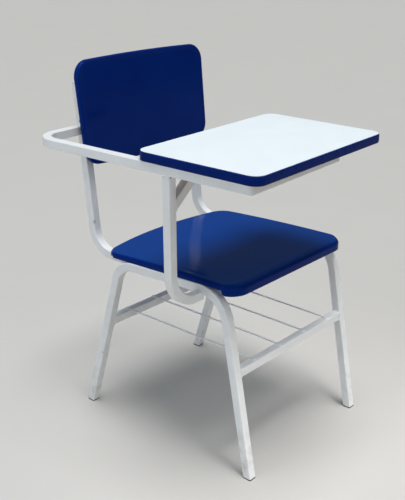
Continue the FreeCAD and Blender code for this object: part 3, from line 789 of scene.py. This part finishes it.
class Nodes:
    """A material's node tree, with short calls for the nodes used here."""

    def __init__(self, name):
        self.material = bpy.data.materials.new(name)
        self.material.use_nodes = True
        self.tree = self.material.node_tree
        self.shader = self.tree.nodes["Principled BSDF"]
        self.coords = self.tree.nodes.new("ShaderNodeTexCoord").outputs["Object"]

    def link(self, source, target):
        """Joins an output to a socket, or sets the socket to a value."""
        if hasattr(source, "is_output"):
            self.tree.links.new(source, target)
        else:
            target.default_value = source

    def noise(self, scale, detail=3.0, roughness=0.55, stretch=None):
        """Noise in the part's own frame; stretch multiplies the scale along each axis."""
        texture = self.tree.nodes.new("ShaderNodeTexNoise")
        texture.inputs["Scale"].default_value = scale
        texture.inputs["Detail"].default_value = detail
        texture.inputs["Roughness"].default_value = roughness
        source = self.coords
        if stretch:
            mapping = self.tree.nodes.new("ShaderNodeMapping")
            mapping.inputs["Scale"].default_value = stretch
            self.link(source, mapping.inputs["Vector"])
            source = mapping.outputs["Vector"]
        self.link(source, texture.inputs["Vector"])
        return texture.outputs["Fac"]

    def ramp(self, value, low, high, start=0.0, end=1.0):
        """An even S from start to end while the value goes from low to high."""
        node = self.tree.nodes.new("ShaderNodeMapRange")
        node.interpolation_type = "SMOOTHSTEP"
        self.link(value, node.inputs["Value"])
        for key, number in (("From Min", low), ("From Max", high), ("To Min", start), ("To Max", end)):
            node.inputs[key].default_value = number
        return node.outputs["Result"]

    def math(self, operation, first, second=0.0):
        """A number worked out from two others."""
        node = self.tree.nodes.new("ShaderNodeMath")
        node.operation = operation
        self.link(first, node.inputs[0])
        self.link(second, node.inputs[1])
        return node.outputs[0]

    def mix(self, share, first, second):
        """A colour between two: the first at a share of 0, the second at 1."""
        node = self.tree.nodes.new("ShaderNodeMix")
        node.data_type = "RGBA"
        self.link(share, node.inputs["Factor"])
        self.link(first, node.inputs["A"])
        self.link(second, node.inputs["B"])
        return node.outputs["Result"]

    def near(self, place, radius):
        """1 at a place, falling to 0 at a radius round it."""
        node = self.tree.nodes.new("ShaderNodeVectorMath")
        node.operation = "DISTANCE"
        self.link(self.coords, node.inputs[0])
        node.inputs[1].default_value = place
        return self.ramp(node.outputs["Value"], radius * 0.35, radius, 1.0, 0.0)

    def upward(self, source):
        """The Z share of a vector."""
        node = self.tree.nodes.new("ShaderNodeSeparateXYZ")
        self.link(source, node.inputs[0])
        return node.outputs["Z"]

    def height(self):
        """Height above the floor."""
        return self.upward(self.coords)

    def facing_up(self):
        """1 where the surface faces straight up, 0 where it is upright."""
        return self.upward(self.tree.nodes.new("ShaderNodeTexCoord").outputs["Normal"])

    def bump(self, value, depth):
        """Fine relief on the shader, depth metres deep."""
        node = self.tree.nodes.new("ShaderNodeBump")
        node.inputs["Distance"].default_value = depth
        self.link(value, node.inputs["Height"])
        self.link(node.outputs["Normal"], self.shader.inputs["Normal"])

    def set(self, **values):
        """Fills the shader's sockets, with _ for each space in a socket's name."""
        for key, value in values.items():
            self.link(value, self.shader.inputs[key.replace("_", " ")])


def paint_material():
    """Off-white powder coat: orange peel, uneven tone, grime low down, chips, and a few dark marks,
    some of them painted shade in a gap and a pit.
    """
    n = Nodes("frame_paint")
    tone = n.mix(n.ramp(n.noise(14), 0.35, 0.7), PAINT_WHITE, PAINT_SHADE)
    low = n.ramp(n.height(), 0.0, DIRT_TOP, 0.55, 0.05)
    dirt = n.math("MULTIPLY", low, n.ramp(n.noise(45, 5), 0.42, 0.75))
    tone = n.mix(dirt, tone, PAINT_DIRT)
    wear_and_shade = n.math("MULTIPLY", n.ramp(n.noise(330, 2), 0.70, 0.75), n.ramp(n.noise(16, 2), 0.58, 0.70))
    ragged = n.ramp(n.noise(420, 3), 0.25, 0.6, 0.35, 1.0)
    # The listed dark marks, chips and painted shade alike, join the chips in one mask
    for place, radius, dark in PAINT_MARKS_AND_SHADE:
        mark = n.math("MULTIPLY", n.near(from_feet(place), radius), dark)
        wear_and_shade = n.math("MAXIMUM", wear_and_shade, n.math("MULTIPLY", mark, ragged))
    n.set(Base_Color=n.mix(wear_and_shade, tone, PAINT_CHIP_AND_SHADE),
          Roughness=n.ramp(n.noise(60, 4), 0.3, 0.7, 0.36, 0.52))
    n.bump(n.math("SUBTRACT", n.noise(700, 2), n.math("MULTIPLY", wear_and_shade, 2.0)), 0.00012)
    return n.material


def shell_material():
    """Moulded plastic: uneven tone, painted light that gives the seat's upward-facing top a lighter
    blue, hairline scratches and gloss.
    """
    n = Nodes("shell_plastic")
    tone = n.mix(n.ramp(n.noise(7, 2), 0.3, 0.7), SHELL_BLUE, SHELL_DEEP)
    # Painted light: the seat's upward-facing top takes a lighter blue than the lip, the walls and the
    # backrest
    painted_light_on_seat = n.ramp(n.height(), PAINTED_LIGHT_FULL, PAINTED_LIGHT_END, 0.85, 0.0)
    tone = n.mix(n.math("MULTIPLY", painted_light_on_seat, n.ramp(n.facing_up(), 0.80, 0.985)), tone, SHELL_PAINTED_LIGHT)
    scratches = n.ramp(n.noise(60, 2, stretch=(1.0, 22.0, 1.0)), 0.66, 0.72)
    crossing = n.ramp(n.noise(55, 2, stretch=(24.0, 1.5, 1.0)), 0.68, 0.73)
    worn = n.math("MULTIPLY", n.math("MAXIMUM", scratches, crossing), n.ramp(n.noise(9), 0.45, 0.65))
    n.set(Base_Color=n.mix(n.math("MULTIPLY", worn, 0.05), tone, SHELL_SCRATCH),
          Roughness=n.math("ADD", n.ramp(n.noise(30, 4), 0.3, 0.7, 0.08, 0.12),
                           n.math("MULTIPLY", worn, 0.18)),
          Specular_IOR_Level=0.08, Specular_Tint=SHELL_GLINT)
    n.bump(n.noise(1100, 2), 0.00002)
    return n.material


def laminate_material():
    """White writing sheet: faint speckle, wiped smudges and light pen scratches."""
    n = Nodes("tablet_top")
    speckle = n.ramp(n.noise(1500, 1), 0.60, 0.72, 0.0, 0.35)
    tone = n.mix(speckle, LAMINATE_WHITE, LAMINATE_SPECK)
    smudge = n.ramp(n.noise(8, 5, 0.65), 0.55, 0.85, 0.0, 0.03)
    scratches = n.ramp(n.noise(42, 2, stretch=(1.0, 16.0, 1.0)), 0.69, 0.73, 0.0, 0.2)
    tone = n.mix(n.math("MAXIMUM", smudge, scratches), tone, LAMINATE_SMUDGE)
    n.set(Base_Color=tone, Roughness=n.ramp(n.noise(20, 5), 0.3, 0.7, 0.36, 0.43))
    n.bump(n.noise(900, 2), 0.00003)
    return n.material


def band_material():
    """Navy edge band: drawn lines along it and a soft gloss."""
    n = Nodes("tablet_edge")
    lines = n.noise(24, 3, stretch=(0.6, 0.6, 40.0))
    tone = n.mix(n.ramp(lines, 0.35, 0.7), BAND_BLUE, BAND_DEEP)
    n.set(Base_Color=tone, Roughness=n.ramp(n.noise(50, 3), 0.3, 0.7, 0.24, 0.34),
          Specular_IOR_Level=0.03, Specular_Tint=BAND_GLINT)
    n.bump(lines, 0.00004)
    return n.material


def board_material():
    """Pressed wood board, seen from below."""
    n = Nodes("tablet_core")
    fibres = n.noise(260, 4, stretch=(1.0, 2.6, 1.0))
    tone = n.mix(n.ramp(fibres, 0.3, 0.7), BOARD_LIGHT, BOARD_DARK)
    flecks = n.ramp(n.noise(620, 1), 0.66, 0.72)
    n.set(Base_Color=n.mix(flecks, tone, BOARD_FLECK), Roughness=n.ramp(fibres, 0.3, 0.7, 0.6, 0.8))
    n.bump(fibres, 0.0002)
    return n.material


def small_plastic_material(name, colour, dusty, share):
    """Plugs and caps: moulded plastic with a film of dust."""
    n = Nodes(name)
    dust = n.ramp(n.noise(120, 5), 0.4, 0.8, 0.0, share)
    n.set(Base_Color=n.mix(dust, colour, dusty),
          Roughness=n.ramp(n.noise(200, 3), 0.3, 0.7, 0.42, 0.65))
    n.bump(n.noise(900, 2), 0.0001)
    return n.material


def screw_material():
    """Zinc-plated steel with a dull, slightly yellow bloom."""
    n = Nodes("screw_steel")
    bloom = n.ramp(n.noise(400, 4), 0.35, 0.7)
    n.set(Base_Color=n.mix(bloom, ZINC_BRIGHT, ZINC_BLOOM), Metallic=1.0,
          Roughness=n.ramp(n.noise(700, 3), 0.3, 0.7, 0.28, 0.5))
    n.bump(n.noise(1200, 2), 0.00008)
    return n.material


def dress_nodes(materials):
    """Puts each material on the solids that take its finish."""
    slots = {part["node"]: part["material_slot"] for part in frame["record"]["subparts"]}
    for name, obj in frame["nodes"].items():
        obj.data.materials.clear()
        obj.data.materials.append(materials[slots[name]])


# Stage: a wide floor, and a sky that grows from the horizon to its full strength at a share of up

FLOOR_HALF = 30
SKY_COLOUR = (0.78, 0.93, 1.0, 1)
SKY_FULL_AT = 0.9
SKY_AT_HORIZON = 0.09
SKY_OVERHEAD = 0.28
COOL_LIGHT = (0.76, 0.87, 1.0)
PLAIN_LIGHT = (0.985, 0.99, 1.0)
WARM_LIGHT = (1.0, 0.98, 0.95)


def floor_material():
    """Plain pale floor with the slightest unevenness."""
    n = Nodes("floor")
    n.set(Base_Color=n.mix(n.noise(3, 2), FLOOR_PALE, FLOOR_SHADE), Roughness=0.85,
          Specular_IOR_Level=0.1)
    return n.material


def floor():
    """Wide level floor under the feet."""
    bm = bmesh.new()
    bmesh.ops.create_grid(bm, x_segments=8, y_segments=8, size=FLOOR_HALF)
    mesh = bpy.data.meshes.new("floor")
    bm.to_mesh(mesh)
    bm.free()
    mesh.materials.append(floor_material())
    plane = bpy.data.objects.new("floor", mesh)
    bpy.context.scene.collection.objects.link(plane)


def aim(obj, place, target):
    """Puts a lamp in its place, turned to a point."""
    obj.location = place
    obj.rotation_mode = "QUATERNION"
    obj.rotation_quaternion = (Vector(target) - Vector(place)).to_track_quat("-Z", "Y")
    bpy.context.scene.collection.objects.link(obj)


def lamp(name, place, target, size, watts, colour, spread=180):
    """Soft rectangular lamp aimed at a point."""
    data = bpy.data.lights.new(name, "AREA")
    data.shape = "RECTANGLE"
    data.size, data.size_y = size
    data.energy = watts
    data.spread = math.radians(spread)
    data.color = colour
    aim(bpy.data.objects.new(name, data), place, target)


def soft_sun(name, place, target, width, strength, colour):
    """Even light from above that reaches the whole floor, as wide as a large lamp."""
    data = bpy.data.lights.new(name, "SUN")
    data.energy = strength
    data.angle = math.radians(width)
    data.color = colour
    aim(bpy.data.objects.new(name, data), place, target)


def lights():
    """One wide light from above, a cool one from the left and two weak ones from the front."""
    soft_sun("overhead", place=(-0.2, -0.38, 3.0), target=(0.0, 0.0, 0.0), width=32, strength=2.88,
             colour=PLAIN_LIGHT)
    lamp("left_fill", place=(-3.0, 0.4, 1.6), target=(0.0, 0.1, 0.4), size=(1.6, 1.6), watts=23,
         colour=COOL_LIGHT)
    lamp("front_fill", place=(-0.3, -2.4, 2.6), target=(0.0, -0.1, 0.3), size=(1.6, 1.2), watts=7,
         colour=WARM_LIGHT)
    lamp("front_low", place=(-0.3, -1.5, 0.9), target=(0.0, -0.25, 0.0), size=(1.0, 0.3), watts=0.8,
         colour=WARM_LIGHT, spread=36)


def sky():
    """Soft light from all round, brighter overhead than at the horizon."""
    world = bpy.data.worlds.new("studio")
    bpy.context.scene.world = world
    world.use_nodes = True
    tree = world.node_tree
    background = tree.nodes["Background"]
    coords = tree.nodes.new("ShaderNodeTexCoord")
    split = tree.nodes.new("ShaderNodeSeparateXYZ")
    ramp = tree.nodes.new("ShaderNodeMapRange")
    ramp.interpolation_type = "SMOOTHSTEP"
    ramp.inputs["From Min"].default_value = 0.0
    ramp.inputs["From Max"].default_value = SKY_FULL_AT
    ramp.inputs["To Min"].default_value = SKY_AT_HORIZON
    ramp.inputs["To Max"].default_value = SKY_OVERHEAD
    tree.links.new(coords.outputs["Generated"], split.inputs[0])
    tree.links.new(split.outputs["Z"], ramp.inputs["Value"])
    tree.links.new(ramp.outputs["Result"], background.inputs["Strength"])
    background.inputs["Color"].default_value = SKY_COLOUR


def camera():
    """Camera at the photograph's place and angle."""
    azimuth = math.radians(CAMERA_AZIMUTH)
    elevation = math.radians(CAMERA_ELEVATION)
    roll = math.radians(CAMERA_ROLL)
    back = Vector((math.sin(azimuth) * math.cos(elevation), -math.cos(azimuth) * math.cos(elevation),
                   math.sin(elevation)))
    right = (-back).cross(Vector((0, 0, 1))).normalized()
    up = right.cross(-back)
    data = bpy.data.cameras.new("camera")
    data.sensor_width = SENSOR
    data.lens = CAMERA_FOCAL / PICTURE_HEIGHT * SENSOR
    obj = bpy.data.objects.new("camera", data)
    turned_right = right * math.cos(roll) + up * math.sin(roll)
    turned_up = up * math.cos(roll) - right * math.sin(roll)
    obj.matrix_world = Matrix.Translation(from_feet(CAMERA_PLACE)) @ Matrix(
        (turned_right, turned_up, back)).transposed().to_4x4()
    bpy.context.scene.collection.objects.link(obj)
    bpy.context.scene.camera = obj


def build():
    """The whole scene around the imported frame."""
    materials = {
        "frame_paint": paint_material(),
        "shell_plastic": shell_material(),
        "tablet_top": laminate_material(),
        "tablet_edge": band_material(),
        "tablet_core": board_material(),
        "foot_plastic": small_plastic_material("foot_plastic", FOOT_GREY, FOOT_DUST, 0.5),
        "cap_plastic": small_plastic_material("cap_plastic", CAP_WHITE, CAP_DUST, 0.35),
        "screw_steel": screw_material(),
    }
    dress_nodes(materials)
    seat_piece(materials["shell_plastic"])
    back_piece(materials["shell_plastic"])
    edge_band_piece(materials["tablet_edge"])
    frame_welds(materials["frame_paint"])
    rack_welds(materials["frame_paint"])
    all_screws(materials["screw_steel"])
    floor()
    sky()
    lights()
    camera()
    bpy.context.scene.view_settings.view_transform = "Standard"


build()
